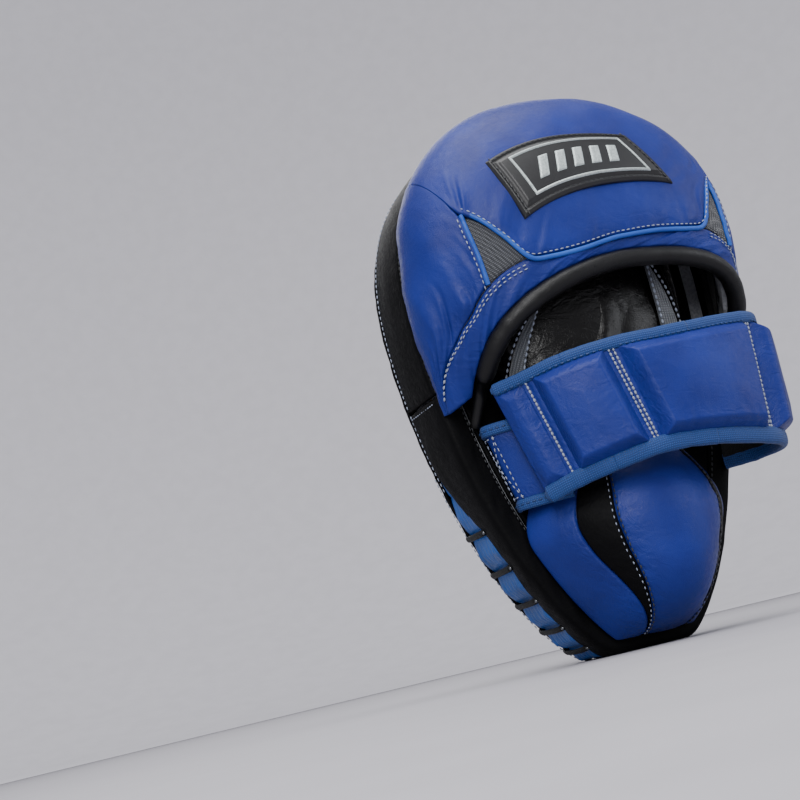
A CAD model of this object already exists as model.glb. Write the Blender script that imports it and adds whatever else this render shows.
import math

import bpy
import numpy as np
from mathutils import Matrix, Vector


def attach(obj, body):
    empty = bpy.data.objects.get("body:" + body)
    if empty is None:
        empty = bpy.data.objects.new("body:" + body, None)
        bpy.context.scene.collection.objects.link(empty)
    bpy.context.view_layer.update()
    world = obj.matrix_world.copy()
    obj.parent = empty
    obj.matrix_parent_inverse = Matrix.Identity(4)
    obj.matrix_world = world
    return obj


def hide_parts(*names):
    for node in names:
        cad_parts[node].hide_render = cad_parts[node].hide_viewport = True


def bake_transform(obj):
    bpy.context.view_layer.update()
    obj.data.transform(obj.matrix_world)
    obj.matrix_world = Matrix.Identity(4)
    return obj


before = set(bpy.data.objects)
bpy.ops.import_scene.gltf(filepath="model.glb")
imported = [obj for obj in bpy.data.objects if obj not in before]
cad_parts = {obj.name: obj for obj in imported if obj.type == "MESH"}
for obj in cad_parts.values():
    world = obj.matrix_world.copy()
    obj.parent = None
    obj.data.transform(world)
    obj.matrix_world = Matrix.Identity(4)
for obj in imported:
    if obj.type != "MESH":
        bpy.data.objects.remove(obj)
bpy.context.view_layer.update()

# All shapes below are worked out in millimetres, in the row frame, and turned to metres in make_mesh.
MM = 0.001

# Plan of the pad: two superellipse halves that meet at the widest height.
HALF_WIDTH = 90.5
WIDEST_Z = 190
TOP_REACH, TOP_POWER = 100, 2.3
HEEL_REACH, HEEL_POWER = 200, 1.8
CORNER_SOFTNESS = 3

# Depths through the pad, from the target's middle to the back plane.
PANEL_Y = -18
SEAM_Y = -19
BACK_Y = 20

# Side wall, lacing slot and the lip of the back band.
GUSSET_START, GUSSET_END = -15, 195
LACING_START, LACING_END = 202.5, 337.5
LACE_STEP = 7.5
LACE_BARS = 15
SLOT_WIDTH = 21
LIP_WIDTH = 13.5

# Pear-shaped loops on the target side: (half width, centre z, reach up, reach down, power).
PANEL = (56, 185, 46, 113, 3)
CREST_IN = (68, 185, 58, 133, 3)

# Strap edges from the root on the -X side to the free end, and its sewn channels.
STRAP_LOWER = [
    (-68, 22, 84), (-79, 34, 84), (-82, 48, 84), (-77, 62, 84), (-63, 73, 85), (-38, 79, 88),
    (-16, 80, 90), (3, 78, 90), (24, 70, 87), (39, 58, 84), (51, 45, 80),
]
STRAP_UPPER = [
    (-72, 22, 112), (-80, 34, 120), (-84, 48, 136), (-80, 62, 150), (-69, 71, 152), (-42, 78, 150),
    (-12, 80, 148), (16, 76, 147), (38, 67, 145), (53, 55, 142), (66, 42, 140),
]
STRAP_BODIES = ["strap_side", "strap_middle", "strap_front", "strap_flap"]
CHANNELS = [0, 0.4, 0.7, 0.9, 1]
TAB_LOWER = [(56, 21, 81), (57.5, 29, 81), (50, 37, 81), (38, 47, 81)]
TAB_UPPER = [(66, 21, 122), (68, 29, 122), (60, 37, 122), (47, 46, 122)]


# ---- numbers ----


def smooth(value):
    s = np.clip(value, 0, 1)
    return s * s * (3 - 2 * s)


def lerp(a, b, s):
    return a + (b - a) * s


def signed_power(value, power):
    return np.sign(value) * np.abs(value) ** power


def stack(x, y, z):
    return np.stack(np.broadcast_arrays(x, y, z), -1).astype(float)


def unit(vectors):
    return vectors / np.maximum(np.linalg.norm(vectors, axis=-1, keepdims=True), 1e-9)


def lattice(i, j, seed):
    n = (i * 73856093) ^ (j * 19349663) ^ (seed * 83492791)
    n = (n ^ (n >> 13)) * 1274126177
    return ((n ^ (n >> 16)) & 0xFFFF) / 32767.5 - 1


def noise(x, y, seed=0):
    """Smooth noise between -1 and 1 that is the same on each run."""
    x, y = np.broadcast_arrays(x, y)
    i, j = np.floor(x).astype(np.int64), np.floor(y).astype(np.int64)
    s, t = smooth(x - i), smooth(y - j)
    low = lerp(lattice(i, j, seed), lattice(i + 1, j, seed), s)
    high = lerp(lattice(i, j + 1, seed), lattice(i + 1, j + 1, seed), s)
    return lerp(low, high, t)


def spline(points, t):
    """Catmull-Rom curve through the points, at t from 0 to 1. The points may be arrays of any shape."""
    p = np.asarray(points, float)
    p = np.concatenate([2 * p[:1] - p[1:2], p, 2 * p[-1:] - p[-2:-1]])
    x = np.clip(np.asarray(t, float), 0, 1) * (len(points) - 1)
    i = np.minimum(np.floor(x).astype(int), len(points) - 2)
    s = (x - i).reshape(x.shape + (1,) * (p.ndim - 1))
    a, b, c, d = p[i], p[i + 1], p[i + 2], p[i + 3]
    return 0.5 * (2 * b + (c - a) * s + (2 * a - 5 * b + 4 * c - d) * s**2 + (3 * b - a - 3 * c + d) * s**3)


def spread(steps, ends=0.45):
    """Values from 0 to 1, closer together near both ends."""
    t = np.linspace(0, 1, steps + 1)
    return lerp(t, 0.5 - 0.5 * np.cos(np.pi * t), ends)


def normals_of(points, inside, wrap=False):
    """Unit normals of a grid of points, on the side away from the point inside."""
    if wrap:
        du = np.roll(points, -1, 0) - np.roll(points, 1, 0)
    else:
        du = np.gradient(points, axis=0)
    normals = unit(np.cross(du, np.gradient(points, axis=1)))
    return normals * np.sign(np.sum(normals * (points - np.array(inside, float))))


def lengths(points, axis):
    """Distance along one axis of a grid of points."""
    steps = np.linalg.norm(np.diff(points, axis=axis), axis=-1)
    return np.concatenate([np.zeros_like(np.take(steps, [0], axis)), np.cumsum(steps, axis)], axis)


# ---- meshes ----


def link(obj):
    bpy.context.scene.collection.objects.link(obj)
    return obj


def make_mesh(name, points, faces, uv=None, edge=None):
    """A mesh piece from points in millimetres, kept above the floor, with its faces turned outwards."""
    points = np.array(points, float)
    points[:, 2] = np.maximum(points[:, 2], 0.05)
    tri = np.array([(f[0], f[i], f[i + 1]) for f in faces for i in range(1, len(f) - 1)])
    a, b, c = points[tri[:, 0]], points[tri[:, 1]], points[tri[:, 2]]
    if np.sum(a * np.cross(b, c)) < 0:
        faces = [f[::-1] for f in faces]
    mesh = bpy.data.meshes.new(name)
    mesh.from_pydata((points * MM).tolist(), [], [tuple(int(i) for i in f) for f in faces])
    mesh.shade_smooth()
    index = np.zeros(len(mesh.loops), int)
    mesh.loops.foreach_get("vertex_index", index)
    if uv is not None:
        layer = mesh.uv_layers.new(name="UVMap")
        layer.data.foreach_set("uv", (uv[index] * MM).ravel())
    attribute = mesh.attributes.new("edge", "FLOAT", "POINT")
    attribute.data.foreach_set("value", np.full(len(points), 20.0) if edge is None else edge.astype(float))
    return link(bpy.data.objects.new(name, mesh))


def sheet_solid(name, outer, inner, uv=None, edge=None, wrap=False):
    """Closes the space between two grids of points of the same size.

    A wrapped grid joins its first row to its last."""
    rows, columns = outer.shape[:2]
    count = rows * columns
    index = np.arange(count).reshape(rows, columns)
    if wrap:
        index = np.vstack([index, index[:1]])
    a, b, c, d = index[:-1, :-1], index[1:, :-1], index[1:, 1:], index[:-1, 1:]
    top = np.stack([a, b, c, d], -1).reshape(-1, 4)
    under = np.stack([a, d, c, b], -1).reshape(-1, 4) + count
    if wrap:
        loops = [index[:, 0], index[::-1, -1]]
    else:
        loops = [np.concatenate([index[:, 0], index[-1, 1:], index[-2::-1, -1], index[0, -2::-1]])]
    rims = [np.stack([l[1:], l[:-1], l[:-1] + count, l[1:] + count], -1) for l in loops]
    faces = np.concatenate([top, under, *rims]).tolist()
    points = np.concatenate([outer.reshape(-1, 3), inner.reshape(-1, 3)])
    if uv is not None:
        uv = np.concatenate([uv.reshape(-1, 2)] * 2)
    if edge is not None:
        edge = np.concatenate([edge.ravel(), np.zeros(count)])
    return make_mesh(name, points, faces, uv, edge)


def sweep(name, rings, closed=False):
    """Skins a row of equal closed rings, with flat caps at both ends unless it is closed."""
    rings = np.asarray(rings, float)
    count, sides = rings.shape[:2]
    index = np.arange(count * sides).reshape(count, sides)
    if closed:
        index = np.vstack([index, index[:1]])
    index = np.hstack([index, index[:, :1]])
    a, b, c, d = index[:-1, :-1], index[1:, :-1], index[1:, 1:], index[:-1, 1:]
    faces = np.stack([a, b, c, d], -1).reshape(-1, 4).tolist()
    if not closed:
        faces += [index[0, :-1].tolist(), index[-1, -2::-1].tolist()]
    along = np.broadcast_to(lengths(rings, 0), (count, sides))
    around = np.broadcast_to(lengths(rings, 1), (count, sides))
    uv = np.stack([along, around], -1).reshape(-1, 2)
    return make_mesh(name, rings.reshape(-1, 3), faces, uv)


def cord_rings(path, normals, half_width, half_height, sides=12, power=1.0):
    """Oval rings along a path: half_width across, half_height along the normals."""
    along = unit(np.gradient(path, axis=0))
    up = unit(normals - along * np.sum(normals * along, -1, keepdims=True))
    side = np.cross(along, up)
    angle = np.linspace(0, 2 * np.pi, sides, endpoint=False)
    x = signed_power(np.cos(angle), power)[None, :, None] * np.reshape(half_width, (-1, 1, 1))
    y = signed_power(np.sin(angle), power)[None, :, None] * np.reshape(half_height, (-1, 1, 1))
    return path[:, None] + side[:, None] * x + up[:, None] * y


def panel(name, surface, steps, inside, thick=1.6, puff=0.8, pucker=0.35, reach=7, pitch=3.2, seed=1,
          seams="lrbt", extra=None, ends=0.45, quiet=None):
    """A leather panel on a surface of (u, v), plump in the middle and rolled down at its edges.

    Small puckers start at the seams named in seams: l, r, b and t for u 0, u 1, v 0 and v 1. They fade out
    over reach. extra adds height of its own, and quiet is 0 where an edge runs on into its neighbour."""
    u, v = spread(steps[0], ends)[:, None], spread(steps[1], ends)[None, :]
    base = surface(u, v)
    normals = normals_of(base, inside)
    along_u, along_v = lengths(base, 0), lengths(base, 1)
    width, height = along_u[-1:], along_v[:, -1:]
    distances = {"l": along_u, "r": width - along_u, "b": along_v, "t": height - along_v}
    runs = {"l": along_v, "r": along_v, "b": along_u, "t": along_u}
    border = np.minimum.reduce(list(distances.values()))
    sewn = np.minimum.reduce([distances[k] for k in seams] or [border + 40])
    lift = puff * (1 - np.exp(-sewn / 5))
    loud = 1 if quiet is None else quiet(u, v)
    lift = lerp(puff, lift, loud)
    for k, side in enumerate(seams):
        wave = noise(runs[side] / pitch, distances[side] / 11, seed + 7 * k)
        wave = wave + 0.5 * noise(runs[side] / pitch * 2.1, distances[side] / 7, seed + 7 * k + 3)
        lift = lift + pucker * np.exp(-distances[side] / reach) * smooth(distances[side] / 1.5) * wave
    if extra is not None:
        lift = lift + extra(u, v, along_u, along_v, border)
    roll = 1 - np.clip(border / thick, 0, 1)
    lift = lift - loud * 0.9 * thick * (1 - np.sqrt(np.maximum(0, 1 - roll**2)))
    outer = base + normals * lift[..., None]
    uv = np.stack([along_u, along_v], -1)
    return sheet_solid(name, outer, base - normals * thick, uv, sewn)


# The cloth that swells the padded pieces: frames run, steps per frame, and pressure behind the leather.
CLOTH_FRAMES = 20
CLOTH_QUALITY = 6
CLOTH_PRESSURE = 4.0


def swelling(name, points, inside, cap):
    """Heights in mm of a padded sheet when cloth is blown up behind it with its rim held."""
    normals = normals_of(points, inside)
    obj = sheet_solid(name, points, points - normals * 4)
    held = np.ones(points.shape[:2], bool)
    held[1:-1, 1:-1] = False
    count = held.size
    pinned = np.flatnonzero(held.ravel()).tolist() + list(range(count, 2 * count))
    obj.vertex_groups.new(name="held").add(pinned, 1.0, "REPLACE")
    cloth = obj.modifiers.new("cloth", "CLOTH")
    cloth.settings.quality = CLOTH_QUALITY
    cloth.settings.use_pressure = True
    cloth.settings.uniform_pressure_force = CLOTH_PRESSURE
    cloth.settings.vertex_group_mass = "held"
    cloth.settings.effector_weights.gravity = 0
    cloth.point_cache.frame_start = 1
    cloth.point_cache.frame_end = CLOTH_FRAMES
    for number in range(1, CLOTH_FRAMES + 1):
        bpy.context.scene.frame_set(number)
    blown = obj.evaluated_get(bpy.context.evaluated_depsgraph_get()).data
    places = np.zeros(len(blown.vertices) * 3)
    blown.vertices.foreach_get("co", places)
    moved = places.reshape(-1, 3)[:count].reshape(points.shape) / MM - points
    bpy.data.objects.remove(obj)
    bpy.context.scene.frame_set(1)
    return np.clip(np.sum(moved * normals, -1), -0.5, cap)


def sampled(heights, u, v):
    """A grid of heights read at (u, v), both from 0 to 1."""
    u, v = np.broadcast_arrays(np.asarray(u, float), np.asarray(v, float))
    x = np.clip(u, 0, 1) * (heights.shape[0] - 1)
    y = np.clip(v, 0, 1) * (heights.shape[1] - 1)
    i = np.minimum(x.astype(int), heights.shape[0] - 2)
    j = np.minimum(y.astype(int), heights.shape[1] - 2)
    s, t = smooth(x - i), smooth(y - j)
    low = lerp(heights[i, j], heights[i + 1, j], s)
    return lerp(low, lerp(heights[i, j + 1], heights[i + 1, j + 1], s), t)


def settle(obj, body, nodes, material):
    """Gives a piece its material, the body that it rides on and the CAD nodes that it stands for."""
    obj.data.materials.clear()
    obj.data.materials.append(material)
    if body:
        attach(obj, body)
    if nodes:
        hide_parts(*nodes)
    return obj


# ---- materials ----


def linear(hex_colour):
    """An sRGB hex colour as linear RGBA."""
    parts = [int(hex_colour[i : i + 2], 16) / 255 for i in (1, 3, 5)]
    return [c / 12.92 if c <= 0.04045 else ((c + 0.055) / 1.055) ** 2.4 for c in parts] + [1]


def add(tree, kind, values=None, links=None, **settings):
    """Adds a node with its settings, its socket values and its links."""
    made = tree.nodes.new(kind)
    for key, value in settings.items():
        setattr(made, key, value)
    for socket, value in (values or {}).items():
        made.inputs[socket].default_value = value
    for socket, source in (links or {}).items():
        tree.links.new(source, made.inputs[socket])
    return made


def new_material(name, values):
    material = bpy.data.materials.new(name)
    material.use_nodes = True
    tree = material.node_tree
    shader = tree.nodes["Principled BSDF"]
    for socket, value in values.items():
        shader.inputs[socket].default_value = value
    return material, tree, shader


def ranged(tree, source, low, high, start=0.0, end=1.0):
    limits = {"From Min": start, "From Max": end, "To Min": low, "To Max": high}
    return add(tree, "ShaderNodeMapRange", limits, {"Value": source}).outputs["Result"]


def two_tone(tree, factor, dark, light):
    made = add(tree, "ShaderNodeMix", {6: linear(dark), 7: linear(light)}, {0: factor}, data_type="RGBA")
    return made.outputs[2]


def bumped(tree, height, distance, strength=1.0, before=None):
    links = {"Height": height}
    if before is not None:
        links["Normal"] = before
    made = add(tree, "ShaderNodeBump", {"Distance": distance, "Strength": strength}, links)
    return made.outputs["Normal"]


# Leather patterns per metre: pores 2.4 mm apart, mottling 26 mm across, wrinkles 11 by 3.3 by 5.3 mm. The
# grain of a hide, 0.2 to 0.5 mm, is too fine to show, so each leather below gets one of 0.6 to 1.1 mm.
PORES = 420
MOTTLING = 38
WRINKLES = (90, 300, 190)
# Woven and napped surfaces per metre: loose hairs about 1.1 mm apart.
HAIRS = 900


def leather(name, dark, light, rough, grain=0.8, shine=0.5, wrinkle=1.0, index=1.5):
    """Finished leather: grain of a given size in mm, soft mottling and fine wrinkles towards the seams."""
    material, tree, shader = new_material(name, {"Specular IOR Level": shine, "IOR": index})
    place = add(tree, "ShaderNodeTexCoord")
    cells = add(tree, "ShaderNodeTexVoronoi", {"Scale": 1000 / grain}, {"Vector": place.outputs["Object"]},
                feature="DISTANCE_TO_EDGE")
    fine = add(tree, "ShaderNodeTexNoise", {"Scale": PORES, "Detail": 5, "Roughness": 0.6},
               {"Vector": place.outputs["Object"]})
    broad = add(tree, "ShaderNodeTexNoise", {"Scale": MOTTLING, "Detail": 3},
                {"Vector": place.outputs["Object"]})
    stretch = add(tree, "ShaderNodeMapping", {"Scale": WRINKLES}, {"Vector": place.outputs["Object"]})
    folds = add(tree, "ShaderNodeTexNoise", {"Scale": 1, "Detail": 3, "Distortion": 1.2},
                {"Vector": stretch.outputs["Vector"]})
    seam = add(tree, "ShaderNodeAttribute", attribute_name="edge")
    near = ranged(tree, seam.outputs["Fac"], 1.0, 0.22, 0.0, 14.0)
    fold_height = add(tree, "ShaderNodeMath", links={0: folds.outputs["Fac"], 1: near}, operation="MULTIPLY")
    grain_height = ranged(tree, cells.outputs["Distance"], 0.0, 1.0, 0.0, 0.12)
    normal = bumped(tree, fold_height.outputs["Value"], 0.0011 * wrinkle, 0.55)
    normal = bumped(tree, grain_height, 0.00006, 0.5, normal)
    normal = bumped(tree, fine.outputs["Fac"], 0.00022, 0.4, normal)
    mottled = ranged(tree, broad.outputs["Fac"], 0.0, 1.0, 0.3, 0.7)
    tree.links.new(two_tone(tree, mottled, dark, light), shader.inputs["Base Color"])
    sheen_spots = ranged(tree, fine.outputs["Fac"], rough - 0.06, rough + 0.1, 0.3, 0.7)
    tree.links.new(sheen_spots, shader.inputs["Roughness"])
    tree.links.new(normal, shader.inputs["Normal"])
    return material


def woven(name, dark, light, pitch, rough=0.6, depth=0.0003, angle=0.0, sheen=0.15, ratio=1.0):
    """Cloth with crossed yarns of a given pitch in mm, laid out on the piece's own UV map."""
    material, tree, shader = new_material(name, {"Sheen Weight": sheen, "Specular IOR Level": 0.35})
    place = add(tree, "ShaderNodeTexCoord")
    turn = add(tree, "ShaderNodeMapping", {"Rotation": (0, 0, angle)}, {"Vector": place.outputs["UV"]})
    waves = []
    for direction, scale in (("X", 1000 / pitch), ("Y", 1000 / (pitch * ratio))):
        wave = add(tree, "ShaderNodeTexWave", {"Scale": scale * math.tau / 20, "Distortion": 0.4,
                   "Detail": 1.0}, {"Vector": turn.outputs["Vector"]}, bands_direction=direction)
        waves.append(wave.outputs["Fac"])
    both = add(tree, "ShaderNodeMath", links={0: waves[0], 1: waves[1]}, operation="MULTIPLY")
    hairs = add(tree, "ShaderNodeTexNoise", {"Scale": HAIRS, "Detail": 4},
                {"Vector": place.outputs["Object"]})
    tree.links.new(two_tone(tree, both.outputs["Value"], dark, light), shader.inputs["Base Color"])
    fuzz = ranged(tree, hairs.outputs["Fac"], rough - 0.1, rough + 0.1, 0.3, 0.7)
    tree.links.new(fuzz, shader.inputs["Roughness"])
    normal = bumped(tree, both.outputs["Value"], depth, 0.8)
    normal = bumped(tree, hairs.outputs["Fac"], 0.0002, 0.4, normal)
    tree.links.new(normal, shader.inputs["Normal"])
    return material


def grained(name, dark, light, size, rough, depth, metallic=0.0, sheen=0.0):
    """A plain material with an even grain of a given size in mm."""
    material, tree, shader = new_material(name, {"Metallic": metallic, "Sheen Weight": sheen})
    place = add(tree, "ShaderNodeTexCoord")
    spots = add(tree, "ShaderNodeTexNoise", {"Scale": 1000 / size, "Detail": 4},
                {"Vector": place.outputs["Object"]})
    tone = ranged(tree, spots.outputs["Fac"], 0, 1, 0.35, 0.65)
    tree.links.new(two_tone(tree, tone, dark, light), shader.inputs["Base Color"])
    polish = ranged(tree, spots.outputs["Fac"], rough - 0.07, rough + 0.07, 0.3, 0.7)
    tree.links.new(polish, shader.inputs["Roughness"])
    tree.links.new(bumped(tree, spots.outputs["Fac"], depth, 0.6), shader.inputs["Normal"])
    return material


# Semi-gloss dyed cowhide: deep blue with a soft, broad highlight. Hood, cushion, pads and tab.
BLUE_LEATHER = leather("blue_cowhide_semi_gloss", "#101f69", "#15297c", 0.42, 0.8, 0.26, 1.28)
# The same hide stretched over a folded edge, where its colour shows paler and cleaner.
FOLDED_LEATHER = leather("blue_cowhide_folded_edge", "#1d469c", "#2a5ab2", 0.4, 0.8, 0.3)
# Black cowhide with a dull top coat: nearly black, with only a faint sheen. Target face and side wall.
BLACK_LEATHER = leather("black_cowhide_top_coat", "#060607", "#0b0b0d", 0.5, 0.7, 0.3, 1.0, 1.2)
# Polished black leather rolled over the hood's free edge, with one bright line along its crest.
TRIM_LEATHER = leather("black_polished_trim_leather", "#080809", "#0d0d0f", 0.33, 0.6, 0.42, 0.7, 1.4)
# Soft, glossy black glove leather: deep folds that catch small bright glints.
GLOVE_LEATHER = leather("black_glove_leather", "#070606", "#0d0c0c", 0.2, 1.1, 0.45, 0.9, 1.38)
# Ribbed satin under the lacing, brighter than the leather and streaked along its ribs.
UNDERLAY = leather("blue_satin_underlay", "#12407f", "#1d57a6", 0.42, 0.6)
# Woven nylon binding tape: matt, with its weave showing close up.
BINDING = woven("blue_nylon_binding_tape", "#0f3268", "#1b4a90", 1.1, 0.6, 0.0003, 0.0, 0.06)
# Black brushed nylon lining, matt and dark so that the inside of the hood falls away.
LINING = woven("black_nylon_lining", "#070708", "#101113", 0.9, 0.85, 0.0003, 0.0, 0.03)
# Grey rib-knit mesh in the vents, matt with darker valleys between the ribs.
KNIT = woven("grey_rib_knit", "#2e3034", "#63666c", 1.9, 0.85, 0.0005, 0.0, 0.3, 0.5)
# A paler rib knit in the glove's gussets.
GLOVE_KNIT = woven("pale_grey_rib_knit", "#4a4e54", "#8d9299", 1.9, 0.85, 0.0005, 0.0, 0.3, 0.5)
# Braided polyester lace, black and dull.
LACE = woven("black_braided_polyester", "#040405", "#0c0d0e", 0.8, 0.6, 0.0003, 0.6, 0.0)
# Bonded nylon sewing thread: pale, black, and dark blue beside the binding.
PALE_THREAD = grained("pale_bonded_nylon_thread", "#7b8397", "#a3abbb", 0.3, 0.5, 0.0001)
DARK_THREAD = grained("black_bonded_nylon_thread", "#17181a", "#2d2f33", 0.3, 0.45, 0.0001)
TEAL_THREAD = grained("dark_blue_nylon_thread", "#0d2a58", "#173a70", 0.3, 0.5, 0.0001)
# Moulded satin rubber patch, charcoal with rounded steps.
LABEL_RUBBER = grained("black_moulded_rubber", "#131314", "#1d1e20", 0.5, 0.42, 0.00008)
# Silver-coated plastic bars and frame on the patch, slightly metallic.
LABEL_SILVER = grained("pale_silver_plastic", "#9fa9a8", "#c3cccb", 0.8, 0.38, 0.00006, 0.35)
# Screen-printed vinyl badge, flat blue and flat white.
BADGE_BLUE = grained("blue_printed_vinyl", "#1c3fa0", "#2449ae", 0.6, 0.38, 0.00004)
BADGE_WHITE = grained("white_printed_vinyl", "#d8dbe2", "#eceef2", 0.6, 0.38, 0.00004)
# Hook-and-loop tape, a dull black pile.
FUZZY = grained("black_hook_and_loop_tape", "#08080a", "#26272a", 0.9, 0.9, 0.0014, 0.0, 0.4)
# Open-cell foam with visible pores, and denser closed-cell foam.
SOFT_FOAM = grained("grey_open_cell_foam", "#77797f", "#94969c", 1.4, 0.9, 0.0006)
FIRM_FOAM = grained("dark_closed_cell_foam", "#54575d", "#6a6d73", 1.0, 0.85, 0.0003)
# Brown fibre stiffener board.
BOARD = grained("fibre_stiffener_board", "#6d5638", "#8c7150", 2.5, 0.8, 0.0002)
# Nickel-plated eyelets where the lace turns, as small bright points.
EYELET = grained("nickel_plated_brass", "#6f7276", "#8a8d91", 0.5, 0.28, 0.00003, 1.0)


# ---- stitches, as rows of points that Geometry Nodes turns into threads ----

rows = {}


def stitch_row(body, thread, points):
    """Notes a row of stitches along points in millimetres, on a body and in a kind of thread."""
    points = np.array(points, float)
    points[:, 2] = np.maximum(points[:, 2], 0.5)
    rows.setdefault((body, thread), []).append(points)


def bead_tree():
    """Beads of one size along every line of a mesh: inputs Pitch, Length, Radius and Material."""
    tree = bpy.data.node_groups.new("beads_along_lines", "GeometryNodeTree")
    face = tree.interface
    face.new_socket("Geometry", in_out="OUTPUT", socket_type="NodeSocketGeometry")
    face.new_socket("Geometry", in_out="INPUT", socket_type="NodeSocketGeometry")
    kinds = {"Pitch": "Float", "Length": "Float", "Radius": "Float", "Material": "Material"}
    names = {}
    for name, kind in kinds.items():
        names[name] = face.new_socket(name, in_out="INPUT", socket_type="NodeSocket" + kind).identifier
    start = tree.nodes.new("NodeGroupInput")
    end = tree.nodes.new("NodeGroupOutput")
    curve = add(tree, "GeometryNodeMeshToCurve", links={"Mesh": start.outputs["Geometry"]})
    spaced = add(tree, "GeometryNodeResampleCurve",
                 links={"Curve": curve.outputs["Curve"], "Length": start.outputs["Pitch"]}, mode="LENGTH")
    tangent = add(tree, "GeometryNodeInputTangent")
    turn = add(tree, "FunctionNodeAlignRotationToVector",
               links={"Vector": tangent.outputs["Tangent"]}, axis="X")
    size = add(tree, "ShaderNodeCombineXYZ", links={
        "X": start.outputs["Length"], "Y": start.outputs["Radius"], "Z": start.outputs["Radius"]})
    ball = add(tree, "GeometryNodeMeshUVSphere", {"Segments": 6, "Rings": 4, "Radius": 1.0})
    bead = add(tree, "GeometryNodeTransform", links={
        "Geometry": ball.outputs["Mesh"], "Scale": size.outputs["Vector"]})
    placed = add(tree, "GeometryNodeInstanceOnPoints", links={
        "Points": spaced.outputs["Curve"],
        "Instance": bead.outputs["Geometry"],
        "Rotation": turn.outputs["Rotation"],
    })
    real = add(tree, "GeometryNodeRealizeInstances", links={"Geometry": placed.outputs["Instances"]})
    painted = add(tree, "GeometryNodeSetMaterial", links={
        "Geometry": real.outputs["Geometry"], "Material": start.outputs["Material"]})
    tree.links.new(painted.outputs["Geometry"], end.inputs["Geometry"])
    return tree, names


def beads(name, lines, tree, names, pitch, length, radius, material, body):
    """A piece of equal beads along lines in millimetres."""
    points = np.concatenate(lines)
    starts = np.cumsum([0] + [len(line) for line in lines])
    edges = [(i, i + 1) for a, b in zip(starts[:-1], starts[1:]) for i in range(a, b - 1)]
    mesh = bpy.data.meshes.new(name)
    mesh.from_pydata((points * MM).tolist(), [(int(a), int(b)) for a, b in edges], [])
    obj = link(bpy.data.objects.new(name, mesh))
    modifier = obj.modifiers.new("beads", "NODES")
    modifier.node_group = tree
    modifier[names["Pitch"]] = pitch * MM
    modifier[names["Length"]] = length / 2 * MM
    modifier[names["Radius"]] = radius * MM
    modifier[names["Material"]] = material
    graph = bpy.context.evaluated_depsgraph_get()
    obj.data = bpy.data.meshes.new_from_object(obj.evaluated_get(graph))
    obj.modifiers.clear()
    obj.data.name = name
    obj.data.shade_smooth()
    if isinstance(body, tuple):
        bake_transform(obj)
    else:
        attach(obj, body)
    return obj


# ---- plan outlines ----


def outline(degrees, inset, y):
    """A point of the pad's outline at an angle (0 at +X, 90 at the top), moved inwards."""

    def raw(angle):
        a = np.radians(angle)
        upper = np.sin(a) >= 0
        power = np.where(upper, TOP_POWER, HEEL_POWER)
        reach = np.where(upper, TOP_REACH, HEEL_REACH)
        x = HALF_WIDTH * signed_power(np.cos(a), 2 / power)
        return x, WIDEST_Z + reach * signed_power(np.sin(a), 2 / power)

    x, z = raw(degrees)
    x1, z1 = raw(degrees + 0.5)
    x0, z0 = raw(degrees - 0.5)
    along_x, along_z = x1 - x0, z1 - z0
    length = np.hypot(along_x, along_z)
    z = z + along_x / length * inset - inset
    z = inset + 0.5 * (z + np.sqrt(z * z + CORNER_SOFTNESS**2))
    return stack(x - along_z / length * inset, y, z)


def pear(shape, degrees, margin, y, scale=1.0):
    half_width, centre, up, down, power = shape
    a = np.radians(degrees)
    reach = np.where(np.sin(a) >= 0, up, down) + margin
    x = (half_width + margin) * signed_power(np.cos(a), 2 / power)
    return stack(x * scale, y, centre + reach * signed_power(np.sin(a), 2 / power) * scale)


# ---- target side ----


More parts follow.
